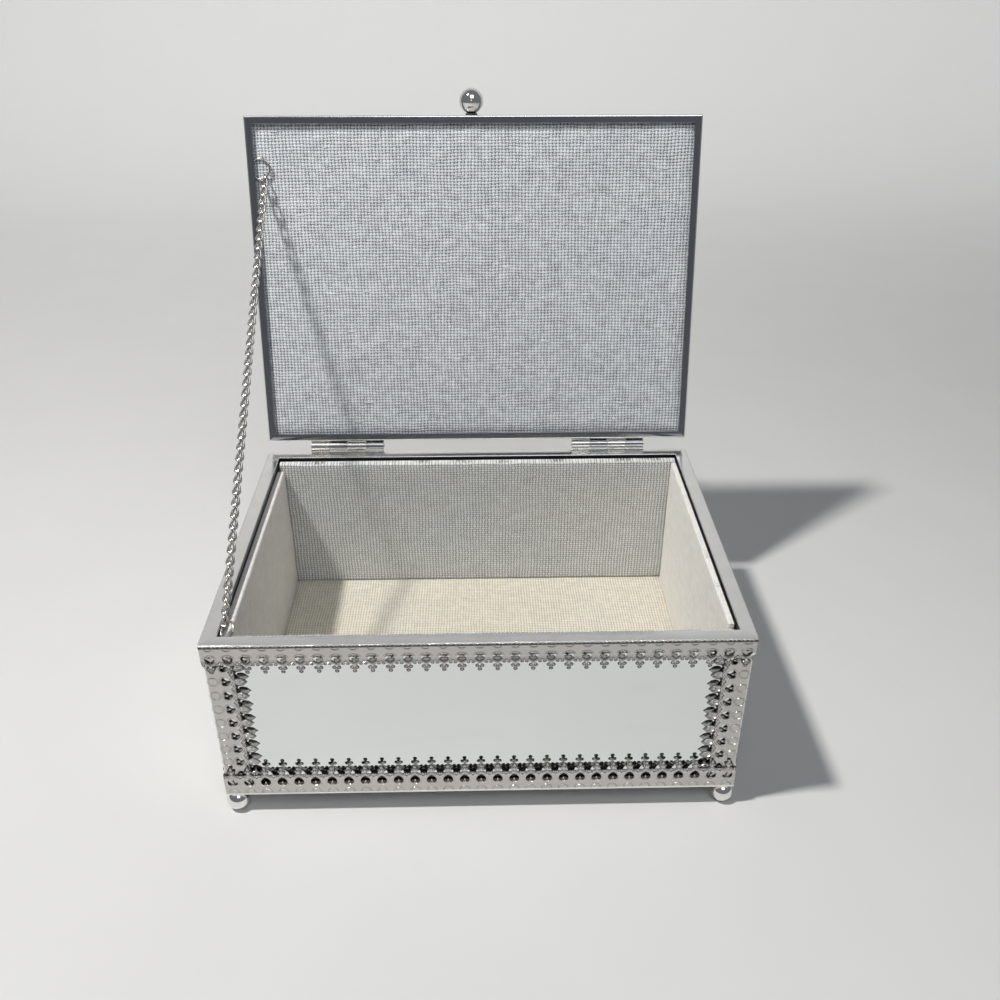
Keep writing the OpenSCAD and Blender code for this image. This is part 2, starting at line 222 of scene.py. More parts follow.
def silvered_glass(name):
    """Mirror glass: a clean silvered back under a hard gloss, with a little dust."""
    finish = Finish(name, Metallic=1.0, Coat_Roughness=0.02, Coat_IOR=1.5)
    place = finish.place()
    dust = finish.noise(place, 0.9, 3.0).ramp(0.68, 0.8)
    smear = finish.stretched(place, (30.0, 30.0, 9.0), 3.0).ramp(0.5, 0.8)
    finish.set(
        Base_Color=finish.mix(dust * 0.4 + smear * 0.08, (0.80, 0.825, 0.815),
                              (0.62, 0.62, 0.60)),
        Roughness=0.012 + dust * 0.25 + smear * 0.03,
        Coat_Weight=0.5 - dust * 0.3)
    return finish.material


def linen(name, across, along, pitches, thread, gap, depth, tint, slubby=0.35,
          widths=(0.30, 0.30), uneven=0.18):
    """Plain weave: each thread goes over and under, and runs thick and thin.
    across and along are the directions of the two sets of threads, and pitches and
    widths are theirs. thread and gap are colours, tint is one that comes and goes in
    large blotches, slubby widens the thick places and uneven lightens them."""
    finish = Finish(name, Specular_IOR_Level=0.25, Sheen_Weight=0.25,
                    Sheen_Roughness=0.5)
    place = finish.place()
    drift = finish.noise(place, 16.0, 2.0) - 0.5
    shiver = finish.noise(place, 2.6, 2.0) - 0.5
    u = (finish.along(place, across) + drift * 1.3 + shiver * 0.45) / pitches[0]
    v = (finish.along(place, along) + drift * 1.5 - shiver * 0.45) / pitches[1]
    row_u, row_v = u.floor(), v.floor()

    def size_of(row, length, seed):
        spot = finish.point(row * 7.31 + seed, length * 0.27, row * 3.17)
        return finish.noise(spot, 1.0, 2.0)

    body_u = size_of(row_u, v, 3.0)
    body_v = size_of(row_v, u, 41.0)

    def profile(position, row, body, width):
        off = (position - row - 0.5).abs() / (width + body * slubby)
        return (1.0 - off * off).above(0.0).root()

    turn = (u - 0.5) * math.pi
    climb = (v - 0.5) * math.pi
    weave = turn.cos() * climb.cos()
    warp = profile(u, row_u, body_u, widths[0]) * (0.62 + weave * 0.38)
    weft = profile(v, row_v, body_v, widths[1]) * (0.62 - weave * 0.38)
    height = warp.math("MAXIMUM", weft)
    fibre = finish.noise(place, 0.35, 3.0)
    solid = height.ramp(0.25, 0.78)
    shade = (0.98 + (body_u + body_v - 1.0) * uneven + (fibre - 0.5) * 0.35).below(1.12)
    colour = finish.mix(solid, gap, thread)
    blotch = finish.noise(place, 38.0, 2.0).ramp(0.35, 0.7)
    colour = finish.mix(blotch * 0.6, colour,
                        finish.mix(1.0, colour, tint, "MULTIPLY"))
    grey = finish.node("CombineColor", {0: shade, 1: shade, 2: shade})
    finish.set(Base_Color=finish.mix(1.0, colour, grey, "MULTIPLY"), Roughness=0.92,
               Normal=finish.bump(height + fibre * 0.25, depth))
    return finish.material


def fibre_board(name):
    """Dark pressed board, flecked with its fibres."""
    finish = Finish(name, Specular_IOR_Level=0.3)
    place = finish.place()
    flecks = finish.stretched(place, (3.5, 1.2, 0.6), 4.0)
    finish.set(Base_Color=finish.mix(flecks, (0.050, 0.042, 0.036), (0.10, 0.085, 0.07)),
               Roughness=0.75 + flecks * 0.2, Normal=finish.bump(flecks, 0.08))
    return finish.material


def flock(name):
    """Dark flocked paper, with a short matted pile."""
    finish = Finish(name, Specular_IOR_Level=0.2, Sheen_Weight=0.4)
    place = finish.place()
    pile = finish.noise(place, 0.5, 4.0, 0.7)
    rubbed = finish.noise(place, 25.0, 3.0).ramp(0.45, 0.75)
    finish.set(Base_Color=finish.mix(pile * 0.6 + rubbed * 0.3, (0.012, 0.015, 0.028),
                                     (0.060, 0.070, 0.105)),
               Roughness=0.95, Normal=finish.bump(pile, 0.12))
    return finish.material


def loose_fibre(name, tone):
    """Single threads and their frayed ends."""
    finish = Finish(name, Roughness=0.9, Specular_IOR_Level=0.2)
    fleck = finish.noise(finish.place(), 0.8, 3.0)
    finish.set(Base_Color=finish.mix(fleck, tuple(c * 0.82 for c in tone), tone))
    return finish.material


NICKEL = (0.83, 0.82, 0.795)
strip_metal = bright_metal("stamped_nickel_strip", NICKEL, 0.12, (2.0, 2.0, 2.0), 0.08,
                           0.05)
# the flat sheet is darker than its raised work: painted shade
painted_shade_sheet_metal = bright_metal("strip_sheet_painted_shade", (0.56, 0.545, 0.52), 0.16,
                            (2.0, 2.0, 2.0), 0.12, 0.06)
# near-black metal for the lines beside the raised work, the groove under the beads and the
# ledge's inner lip: painted shade
painted_shade_metal = bright_metal("painted_shade_groove_lip_and_halos", (0.10, 0.095, 0.09), 0.35,
                            (6.0, 6.0, 0.5), 0.15, 0.03)
ledge_metal = bright_metal("polished_nickel_ledge", (0.88, 0.87, 0.85), 0.17,
                           (14.0, 14.0, 0.4), 0.06, 0.02)
# the lid frame's dark, bluish tone is painted reflection of dark surroundings
painted_dark_frame_metal = bright_metal("lid_frame_painted_dark_reflection", (0.38, 0.39, 0.42), 0.10,
                           (16.0, 0.4, 16.0), 0.06, 0.02)
ball_metal = bright_metal("polished_ball_nickel", (0.84, 0.835, 0.82), 0.05,
                          (3.0, 3.0, 0.3), 0.05, 0.01)
wire_metal = bright_metal("nickel_wire", (0.60, 0.58, 0.55), 0.20, (0.3, 2.0, 2.0),
                          0.08, 0.01)
hinge_metal = bright_metal("hinge_nickel", (0.64, 0.63, 0.61), 0.22, (8.0, 0.3, 0.3),
                           0.12, 0.02)
# the lid's hinge leaves are darker than the body's: painted shade
painted_shade_leaf_metal = bright_metal("hinge_nickel_painted_shade", (0.44, 0.44, 0.45), 0.22,
                              (8.0, 0.3, 0.3), 0.12, 0.02)
fastener_metal = bright_metal("rivet_steel", (0.62, 0.61, 0.59), 0.3, (1.0, 1.0, 1.0),
                              0.15, 0.02)
collar_metal = bright_metal("tarnished_collar", (0.16, 0.155, 0.15), 0.35,
                            (1.0, 0.3, 1.0), 0.2, 0.03)
mirror_glass = silvered_glass("silvered_glass")
LEAN = OPEN_TO - math.pi / 2
lid_linen = linen(
    "lid_linen", (1.0, 0.0, 0.0), (0.0, math.sin(LEAN), math.cos(LEAN)), (1.5, 1.3),
    (0.87, 0.89, 0.91), (0.11, 0.125, 0.16), slubby=0.36, depth=0.3,
    tint=(0.97, 0.98, 1.03), widths=(0.26, 0.27), uneven=0.42)
wall_linen = linen("wall_linen_front_back", (1.0, 0.0, 0.0), (0.0, 0.0, 1.0),
                   (1.45, 1.2), (0.86, 0.86, 0.84), (0.12, 0.12, 0.125), slubby=0.26,
                   depth=0.35, tint=(0.96, 0.99, 1.03), widths=(0.25, 0.40))
side_linen = linen("wall_linen_sides", (0.0, 1.0, 0.0), (0.0, 0.0, 1.0),
                   (1.3, 1.25), (0.93, 0.91, 0.875), (0.64, 0.61, 0.57), depth=0.16,
                   tint=(1.01, 1.0, 0.97))
floor_linen = linen("floor_linen", (1.0, 0.0, 0.0), (0.0, 1.0, 0.0), (1.3, 1.3),
                    (0.84, 0.80, 0.70), (0.34, 0.31, 0.25), depth=0.22,
                    tint=(1.03, 1.0, 0.94))
base_board_wood = fibre_board("pressed_board")
base_flock = flock("dark_flock_paper")
cream_fibre = loose_fibre("cream_fibres", (0.90, 0.87, 0.80))
pale_fibre = loose_fibre("pale_fibres", (0.86, 0.88, 0.91))


# ------------------------------------------------------------------------ mesh helpers
class Shell:
    """Corners and faces of one piece, gathered in millimetres."""

    def __init__(self):
        self.corners, self.faces, self.count, self.kinds = [], [], 0, []

    def add(self, corners, faces, flip=False, kinds=None):
        """Kinds says which of the piece's materials each face has."""
        corners = np.asarray(corners, float).reshape(-1, 3)
        step = -1 if flip else 1
        self.corners.append(corners)
        self.faces += [tuple(i + self.count for i in face[::step]) for face in faces]
        self.kinds += list(kinds) if kinds is not None else [0] * len(faces)
        self.count += len(corners)

    def piece(self, name, materials, body, smooth, instead_of=()):
        """Makes the object. smooth is the sharpest angle that is shaded round, and
        instead_of names the solids that it replaces."""
        mesh = bpy.data.meshes.new(name)
        mesh.from_pydata(np.vstack(self.corners) * MM, [], self.faces)
        for material in materials:
            mesh.materials.append(material)
        mesh.polygons.foreach_set("material_index", self.kinds)
        made = bpy.data.objects.new(name, mesh)
        bpy.context.scene.collection.objects.link(made)
        mesh.shade_smooth()
        mesh.set_sharp_from_angle(angle=math.radians(smooth))
        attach(made, body)
        if instead_of:
            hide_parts(*instead_of)
        return made


def onto_side(side, w, d, run, inward, up):
    """Points given along, in from and above one side of a w by d rectangle."""
    run, inward, up = (np.asarray(a, float) for a in np.broadcast_arrays(run, inward, up))
    reach = inward - (d if side % 2 == 0 else w) / 2
    x, y = [(run, reach), (-reach, run), (-run, -reach), (reach, -run)][side]
    return np.stack((x, y, up), -1)


def side_len(side, w, d):
    """Length of one side of a w by d rectangle; side 0 is the front, 1 the right."""
    return w if side % 2 == 0 else d


def opened(points):
    """Swings points drawn on the shut lid to its open stop."""
    points = np.array(points, float)
    y, z = points[:, 1] - HINGE_Y, points[:, 2] - HINGE_Z
    c, s = math.cos(-OPEN_TO), math.sin(-OPEN_TO)
    points[:, 1], points[:, 2] = HINGE_Y + y * c - z * s, HINGE_Z + y * s + z * c
    return points


def loops(rings, length, closed_rings=False, closed_run=False):
    """Faces that join rings of the same length, laid one after another."""
    faces = []
    around = length if closed_rings else length - 1
    last = rings if closed_run else rings - 1
    for i in range(last):
        a, b = i * length, (i + 1) % rings * length
        for j in range(around):
            k = (j + 1) % length
            faces.append((a + j, a + k, b + k, b + j))
    return faces


def headings(path, closed):
    """Unit directions along a path of points."""
    if closed:
        heading = np.roll(path, -1, 0) - np.roll(path, 1, 0)
    else:
        heading = np.gradient(path, axis=0)
    return heading / np.linalg.norm(heading, axis=1)[:, None]


def tube(path, radius, around, closed=False, taper=False):
    """A round wire along a path of points, with closed ends."""
    path = np.asarray(path, float)
    heading = headings(path, closed)
    side = np.cross(heading[0], (0.31, 0.17, 0.93))
    side /= np.linalg.norm(side)
    radii = np.full(len(path), radius)
    if taper:
        radii[0] = radii[-1] = radius * 0.15
    rings = []
    for spot, ahead, r in zip(path, heading, radii):
        side = side - ahead * side.dot(ahead)
        side /= np.linalg.norm(side)
        other = np.cross(ahead, side)
        turn = np.arange(around) * 2 * math.pi / around
        rings.append(spot + r * (np.cos(turn)[:, None] * side
                                 + np.sin(turn)[:, None] * other))
    faces = loops(len(path), around, closed_rings=True, closed_run=closed)
    if not closed:
        faces.append(tuple(range(around))[::-1])
        faces.append(tuple((len(path) - 1) * around + i for i in range(around)))
    return np.vstack(rings), faces


# ------------------------------------------------------------- one repeat of the strip
SUNK = 0.03          # raised work starts this far below the strip's face
MARK_RISE = 0.045    # thickness of the painted shade beside the raised work
HALO = 0.42          # width of that painted shade, and of the thinner kind round the rings
RING_HALO = 0.24


def arc(cx, cy, rx, ry, start, end, steps):
    """Points along part of an ellipse, between two angles in degrees."""
    turn = np.radians(np.linspace(start, end, steps + 1))
    return np.stack((cx + rx * np.cos(turn), cy + ry * np.sin(turn)), -1)


def ridge(path, r, closed, rise=1.0):
    """A half-round raised line on the face of the strip."""
    cuts = 4
    path = np.asarray(path, float)
    heading = headings(path, closed)
    across = np.stack((-heading[:, 1], heading[:, 0]), -1)
    radii = np.full(len(path), r)
    if not closed:
        radii[0] = radii[-1] = r * 0.2
    turn = np.linspace(0, math.pi, cuts + 1)
    rings = [np.column_stack((spot + side * radius * np.cos(turn)[:, None],
                              radius * rise * np.sin(turn) - SUNK))
             for spot, side, radius in zip(path, across, radii)]
    return np.vstack(rings), loops(len(path), cuts + 1, closed_run=closed)


def bead(u, v, r, rise, around, rows):
    """A raised dot on the face of the strip, rise times as high as its radius."""
    turn = np.arange(around) * 2 * math.pi / around
    rings = []
    for i in range(rows):
        lift = i * math.pi / 2 / rows
        rings.append(np.column_stack((
            u + r * math.cos(lift) * np.cos(turn), v + r * math.cos(lift) * np.sin(turn),
            np.full(around, r * rise * math.sin(lift) - SUNK))))
    faces = loops(rows, around, closed_rings=True)
    faces += [((rows - 1) * around + i, (rows - 1) * around + (i + 1) % around,
               rows * around) for i in range(around)]
    return np.vstack(rings + [[(u, v, r * rise - SUNK)]]), faces


def punched_sheet(outline, piercing, thick):
    """A sheet with one hole, as corners and faces. It has no edge where the outline
    runs along the joint to the next repeat."""
    flat = np.array(outline + piercing)
    count = len(flat)
    front = np.column_stack((flat, np.zeros(count)))
    rear = np.column_stack((flat, np.full(count, -thick)))
    faces = []
    for a, b, c in tessellate_polygon([[Vector((u, v, 0)) for u, v in ring]
                                       for ring in (outline, piercing)]):
        (x1, y1), (x2, y2), (x3, y3) = flat[a], flat[b], flat[c]
        if (x2 - x1) * (y3 - y1) - (x3 - x1) * (y2 - y1) < 0:
            b, c = c, b
        faces += [(a, b, c), (a + count, c + count, b + count)]
    for first, length in ((0, len(outline)), (len(outline), len(piercing))):
        for i in range(length):
            a, b = first + i, first + (i + 1) % length
            at_joint = abs(abs(flat[a, 0]) - REPEAT / 2) < 1e-6
            if not (at_joint and abs(flat[a, 0] - flat[b, 0]) < 1e-6):
                faces.append((a, a + count, b + count, b))
    return np.vstack((front, rear)), faces


def strip_repeat(start, ring_at, wave, hole, valley, peak, edge, bulge, tip, leafy):
    """One repeat of the stamped strip: u along it, v away from its bend, w outwards.
    ring_at is the embossed ring's middle, wave the level of the bars between the
    piercings, hole the near and far reach of the heart-shaped piercing, valley and peak
    the levels of the zigzag line, edge that of the band's edge, and bulge and tip those
    of the finial, which is a leaf or three beads."""
    half = REPEAT / 2
    thick = 0.38                                    # of the sheet
    hole_w, ring_r, hollow_r = 1.9, 1.75, 0.55      # half width, and two radii
    mid = hole[0] + 0.45 * (hole[1] - hole[0])
    # the outline's right half: the joint to the next repeat, the scalloped edge and
    # the finial
    flank = [(half, start), (half, valley + 0.45), (half - 0.62, valley + 1.2),
             (half, valley + 1.2), (half, edge - 0.25), (half - 0.75, edge - 0.1),
             (half - 1.15, edge - 0.62), (half - 1.6, edge - 0.15)]
    if leafy:
        top = [(0.8, peak + 0.05), (1.32, peak + 0.8), (1.5, bulge - 0.1),
               (1.22, bulge + 1.0), (0.6, tip - 0.5), (0.0, tip)]
    else:
        top = [(0.55, peak + 0.3), (0.42, bulge - 0.75), (0.85, bulge - 0.72),
               (1.28, bulge - 0.3), (1.3, bulge + 0.1), (0.98, bulge + 0.45),
               (0.52, bulge + 0.5), (0.48, tip - 0.9), (0.5, tip - 0.5),
               (0.3, tip - 0.12), (0.0, tip)]
    right = flank + top
    outline = right + [(-u, v) for u, v in right[-2::-1]]
    # the heart, from its lobes to its point
    lobe = mid - hole[0]
    near = np.vstack((
        arc(-0.55 * hole_w, mid, 0.45 * hole_w, lobe, 180, 360, 6), [(0.0, mid + 0.15)],
        arc(0.55 * hole_w, mid, 0.45 * hole_w, lobe, 180, 360, 6)))
    far = hole[1] - mid
    shoulder = [(0.84, 0.36), (0.48, 0.72)]
    piercing = ([tuple(p) for p in near]
                + [(hole_w * a, mid + far * b) for a, b in shoulder] + [(0.0, hole[1])]
                + [(-hole_w * a, mid + far * b) for a, b in shoulder[::-1]])
    # the sheet is of kind 1, in a darker metal that paints shade, raised work of kind 0 or
    # 1, and painted shade beside the raised work of kind 2
    shell = Shell()
    corners, faces = punched_sheet(outline, piercing, thick)
    shell.add(corners, faces, kinds=[1] * len(faces))
    relief, shade_marks = [], []

    def line(path, r, closed=False, halo=HALO):
        relief.append((*ridge(path, r, closed), 0))
        shade_marks.append(ridge(path, r + halo, closed, MARK_RISE / (r + halo)))

    def dot(u, v, r, rise, around=8, rows=3, halo=HALO, kind=0):
        relief.append((*bead(u, v, r, rise, around, rows), kind))
        shade_marks.append(bead(u, v, r + halo, MARK_RISE / (r + halo), around, 2))

    # the zigzag over the piercings, with the loops in its valleys
    slope = (valley + peak) / 2 - 0.05
    line([(-half, valley), (-half * 0.5, slope), (0, peak), (half * 0.5, slope),
          (half, valley)], 0.23)
    cross = (wave + valley) / 2 + 0.35
    for s in (-1, 1):
        line([(s * half, valley + 0.2), (s * (half - 0.85), valley + 1.35),
              (s * half, valley + 1.42)], 0.16)
        dot(s * (half - 0.8), edge - 0.3, 0.3, 0.8)
        # the crossed bars between the piercings
        line([(s * half, cross), (s * (half - 0.95), wave + 0.25)], 0.18)
        line([(s * half, cross), (s * (half - 0.8), valley + 0.1)], 0.16)
        line([(s * half, wave + 0.75), (s * (half - 0.85), wave - 0.05)], 0.17)
    # beaded rim round the near half of the piercing
    rim_u, rim_v = hole_w + 0.32, lobe + 0.34
    line(arc(0, mid, rim_u, rim_v, 190, 350, 12), 0.17, halo=RING_HALO)
    for u, v in arc(0, mid, rim_u, rim_v, 205, 335, 6):
        dot(u, v, 0.25, 0.95, 6, 2, RING_HALO)
    # embossed ring, cut off by the bend where it reaches over it
    if ring_at - ring_r > start:
        line(arc(0, ring_at, ring_r, ring_r, 0, 345, 18)[:-1], 0.15, True, RING_HALO)
    else:
        low = math.degrees(math.asin((start + 0.25 - ring_at) / ring_r))
        line(arc(0, ring_at, ring_r, ring_r, low, 180 - low, 12), 0.15, halo=RING_HALO)
    if leafy:
        leaf = [(0.45, peak + 0.1), (1.08, peak + 0.85), (1.24, bulge - 0.1),
                (0.98, bulge + 0.9), (0.0, tip - 0.25)]
        line(leaf + [(-u, v) for u, v in leaf[-2::-1]], 0.19)
        line([(0, peak + 0.1), (0, bulge), (0, tip - 0.6)], 0.15)
    else:
        line([(0, peak - 0.1), (0, bulge)], 0.24)
        # the finial's beads take the sheet's darker metal: painted shade
        for u, v, r in ((-0.8, bulge - 0.05, 0.44), (0.8, bulge - 0.05, 0.44),
                        (0, bulge + 0.35, 0.34), (0, tip - 0.5, 0.42)):
            dot(u, v, r, 0.75, kind=1)
    # painted shade in the hollow between the heart's lobes
    shade_marks.append(bead(0, hole[0] + 0.35 * lobe, hollow_r, MARK_RISE / hollow_r, 8, 2))
    for corners, faces, kind in relief:
        shell.add(corners, faces, kinds=[kind] * len(faces))
    for corners, faces in shade_marks:
        shell.add(corners, faces, kinds=[2] * len(faces))
    return np.vstack(shell.corners), shell.faces, shell.kinds


TOP_STRIP = strip_repeat(start=0.35, ring_at=0.8, wave=4.2, hole=(4.85, 8.35), valley=6.8,
                         peak=8.95, edge=9.1, bulge=10.6, tip=12.7, leafy=False)
FOOT_STRIP = strip_repeat(start=0.3, ring_at=1.2, wave=4.2, hole=(5.0, 9.4), valley=8.1,
                          peak=10.5, edge=10.4, bulge=12.3, tip=14.6, leafy=False)
POST_STRIP = strip_repeat(start=0.5, ring_at=2.35, wave=4.6, hole=(5.25, 8.95), valley=8.0,
                          peak=10.2, edge=10.3, bulge=12.1, tip=14.6, leafy=True)
STRIP_METALS = (strip_metal, painted_shade_sheet_metal, painted_shade_metal)


def run_of(repeat, length):
    """The repeats that fill a length, as one set of corners and faces."""
    corners, faces, kinds = repeat
    count = int(length // REPEAT)
    step = length / count
    spots, all_faces = [], []
    for i in range(count):
        moved = corners.copy()
        moved[:, 0] = moved[:, 0] * step / REPEAT + (i + 0.5) * step - length / 2
        spots.append(moved)
        all_faces += [tuple(c + i * len(corners) for c in f) for f in faces]
    return np.vstack(spots), all_faces, kinds * count


MITRE_GAP = 0.03     # left open at each mitre
BEND_CUTS = 4        # faces in each rounded corner of a profile


def prism_faces(n):
    """Faces of a prism whose two ends have n corners each."""
    return ([(j, (j + 1) % n, n + (j + 1) % n, n + j) for j in range(n)]
            + [tuple(range(n))[::-1], tuple(range(n, 2 * n))])


def mitred(side, w, d, profile, trim=(0.0, 0.0)):
    """A closed profile of (inward, up) points run along a side, with mitred ends. An
    end with a trim is cut square instead, that far from the corner."""
    profile = np.asarray(profile, float)
    long = side_len(side, w, d) / 2
    ends = []
    for k, s in enumerate((-1, 1)):
        run = s * (long - profile[:, 0] - MITRE_GAP)
        if trim[k]:
            run = np.full(len(profile), s * long + trim[k])
        ends.append(onto_side(side, w, d, run, profile[:, 0], profile[:, 1]))
    return np.vstack(ends), prism_faces(len(profile))


def rounded(points, radii):
    """Rounds the corners of a closed outline, each with a radius of its own."""
    points = [np.array(p, float) for p in points]
    out = []
    for i, here in enumerate(points):
        before, after = points[i - 1] - here, points[(i + 1) % len(points)] - here
        if radii[i] <= 0:
            out.append(here)
            continue
        a = here + before / np.linalg.norm(before) * radii[i]
        b = here + after / np.linalg.norm(after) * radii[i]
        for k in range(BEND_CUTS + 1):
            t = k / BEND_CUTS
            out.append((1 - t) ** 2 * a + 2 * t * (1 - t) * here + t * t * b)
    return np.array(out)


# the inner lip stops short of the chain's tab in the front left corner
LIP_TRIMS = {0: (11.9, 0.0), 3: (0.0, -12.8)}
TAPE_TOP = -4.4      # the tape on the wall mirrors' edges, from the rim


def top_rail(side):
    """The top strip, the polished ledge with its inner lip, and the tape under it."""
    length = side_len(side, BODY_W, BODY_D)
    shell = Shell()
    corners, faces, kinds = run_of(TOP_STRIP, length - 2 * FACE_IN)
    shell.add(onto_side(side, BODY_W, BODY_D, corners[:, 0], FACE_IN - corners[:, 2],
                        RIM - corners[:, 1]), faces, flip=True, kinds=kinds)
    # pairs of bright beads along the bend, over a groove of painted shade
    pairs = int(length // REPEAT) * 2
    margin, apart, long_by, below = 1, 0.66, 1.5, 0.42
    ball, facets = bead(0, 0, 0.40, 1.2, 8, 3)
    for i in range(pairs):
        for shift in (-apart, apart):
            u = (i + 0.5) * (length - 2 * margin) / pairs - length / 2 + margin + shift
            shell.add(onto_side(side, BODY_W, BODY_D, ball[:, 0] * long_by + u,
                                FACE_IN - ball[:, 2], RIM - below + ball[:, 1]),
                      facets, flip=True)
    groove, facets = mitred(side, BODY_W, BODY_D, np.array(
        [(0.1, -1.5), (0.1, -0.5), (0.3, -0.5), (0.3, -1.5)]) + [0, RIM])
    shell.add(groove, facets, kinds=[2] * len(facets))
    shell.piece(f"top_strip_{SIDES[side]}", STRIP_METALS, "body",
                40, [f"rail_top_{SIDES[side]}"])
    ledge = Shell()
    band = rounded([(0.15, -0.5), (0.15, 0), (LEDGE, 0), (LEDGE, -0.5)],
                   (0, 0.22, 0.45, 0))
    ledge.add(*mitred(side, BODY_W, BODY_D, band + [0, RIM]))
    # the lip takes the ledge's second metal, near black as painted shade
    lip = rounded([(LEDGE - 0.5, -0.3), (LEDGE, -0.3), (LEDGE, -2.3), (LEDGE - 0.5, -2.3)],
                  (0, 0, 0.15, 0.15))
    hung, facets = mitred(side, BODY_W, BODY_D, lip + [0, RIM],
                          LIP_TRIMS.get(side, (0.0, 0.0)))
    ledge.add(hung, facets, kinds=[1] * len(facets))
    ledge.piece(f"ledge_{SIDES[side]}", (ledge_metal, painted_shade_metal), "body",
                35)
    tape = Shell()
    tape.add(*mitred(side, BODY_W, BODY_D, np.array(
        [(2.2, -0.16), (2.2, 0), (5.35, 0), (5.35, -0.16)]) + [0, RIM + TAPE_TOP]))
    tape.piece(f"edge_tape_{SIDES[side]}", (base_flock,), "body", 35)


def foot_rail(side):
    """The foot strip, and the shelf that it folds into under the base."""
    length = side_len(side, BODY_W, BODY_D)
    shell = Shell()
    corners, faces, kinds = run_of(FOOT_STRIP, length - 2 * FACE_IN)
    shell.add(onto_side(side, BODY_W, BODY_D, corners[:, 0], FACE_IN - corners[:, 2],
                        LOW + corners[:, 1]), faces, kinds=kinds)
    shelf = rounded([(0.15, 1.0), (0.15, 0), (SHELF, 0), (SHELF, 0.5), (0.55, 0.5),
                     (0.55, 1.0)], (0, 0.35, 0.15, 0.15, 0, 0))
    shell.add(*mitred(side, BODY_W, BODY_D, shelf + [0, LOW]))
    shell.piece(f"foot_strip_{SIDES[side]}", STRIP_METALS, "body",
                40, [f"rail_foot_{SIDES[side]}"])


POST_CLEAR = 0.55    # between a post's ends and the body's edges


def corner_post(x, y, name):
    """Two pierced leaves that meet at a corner in a soft bend."""
    shell = Shell()
    tall = RIM - LOW - 2 * POST_CLEAR
    corners, faces, kinds = run_of(POST_STRIP, tall)
    middle = LOW + POST_CLEAR + tall / 2
    for along_x in (True, False):
        run = corners[:, 1] + POST_IN + 0.05
        inward = POST_IN + FACE_IN - corners[:, 2]
        px, py = (run, inward) if along_x else (inward, run)
        spots = np.stack((x * (BODY_W / 2 - px), y * (BODY_D / 2 - py),
                          middle + corners[:, 0]), -1)
        shell.add(spots, faces, flip=(x * y > 0) == along_x, kinds=kinds)
    bend = rounded([(0.62, 0.56), (0.62, 0.18), (0.18, 0.18), (0.18, 0.62), (0.56, 0.62),
                    (0.56, 0.56)], (0, 0, 0.4, 0, 0, 0))
    rows = []
    for z in (middle - tall / 2, middle + tall / 2):
        rows.append(np.stack((x * (BODY_W / 2 - POST_IN - bend[:, 0]),
                              y * (BODY_D / 2 - POST_IN - bend[:, 1]),
                              np.full(len(bend), z)), -1))
    shell.add(np.vstack(rows), prism_faces(len(bend)), flip=x * y > 0)
    shell.piece(f"post_strip_{name}", STRIP_METALS, "body", 40,
                [f"post_{name}"])


for number in range(4):
    top_rail(number)
    foot_rail(number)
for x, y, name in ((-1, -1, "front_left"), (1, -1, "front_right"), (1, 1, "back_right"),
                   (-1, 1, "back_left")):
    corner_post(x, y, name)


# -------------------------------------------------------------------------- lid frame
LID_MIDDLE = (LID_D - BODY_D) / 2    # the shut lid's, front to back


def lid_frame(side):
    """A channel round the lid: a lip on the linen, a wall and a wider lip outside."""
    shell = Shell()
    t = 0.5          # thickness of the sheet
    profile = rounded([(0, 0), (LID_LIP, 0), (LID_LIP, t), (t, t), (t, LID_H - t),
                       (LID_BAND, LID_H - t), (LID_BAND, LID_H), (0, LID_H)],
                      (0.65, 0.22, 0.2, 0, 0, 0.2, 0.22, 0.5))
    corners, faces = mitred(side, BODY_W, LID_D, profile + [0, LID_Z])
    # the bend gets the bright ledge metal as painted highlight; it is the first run of
    # faces round the profile
    painted_highlight = [1] * BEND_CUTS + [0] * (len(faces) - BEND_CUTS)
    shell.add(opened(corners + [0, LID_MIDDLE, 0]), faces, kinds=painted_highlight)
    shell.piece(f"lid_channel_{SIDES[side]}", (painted_dark_frame_metal, ledge_metal), "lid",
                35, [f"lid_frame_{SIDES[side]}"])


for number in range(4):
    lid_frame(number)


# -------------------------------------------------------------------- linen on boards
def ripple(points, size, depth, seed):
    """Gentle unevenness of glued cloth, as an offset for each point."""
    shift = Vector((seed * 13.7, seed * 5.1, seed * 9.3))
    return np.array([noise.noise(Vector(p) / size + shift) for p in points]) * depth


def slab_faces(rows, cols, even):
    """Faces of two equal grids of corners, front and rear, joined round their rims.
    even says which way they face."""
    count = rows * cols
    faces = []
    for i in range(rows - 1):
        for j in range(cols - 1):
            a = i * cols + j
            quad = (a, a + cols, a + cols + 1, a + 1)
            back = tuple(q + count for q in quad)
            faces += [quad, back[::-1]] if even else [quad[::-1], back]
    rim = ([i * cols for i in range(rows)]
           + [(rows - 1) * cols + j for j in range(1, cols)]
           + [i * cols + cols - 1 for i in range(rows - 2, -1, -1)]
           + list(range(cols - 2, 0, -1)))
    for a, b in zip(rim, rim[1:] + rim[:1]):
        wall = (a, a + count, b + count, b)
        faces.append(wall if even else wall[::-1])
    return faces


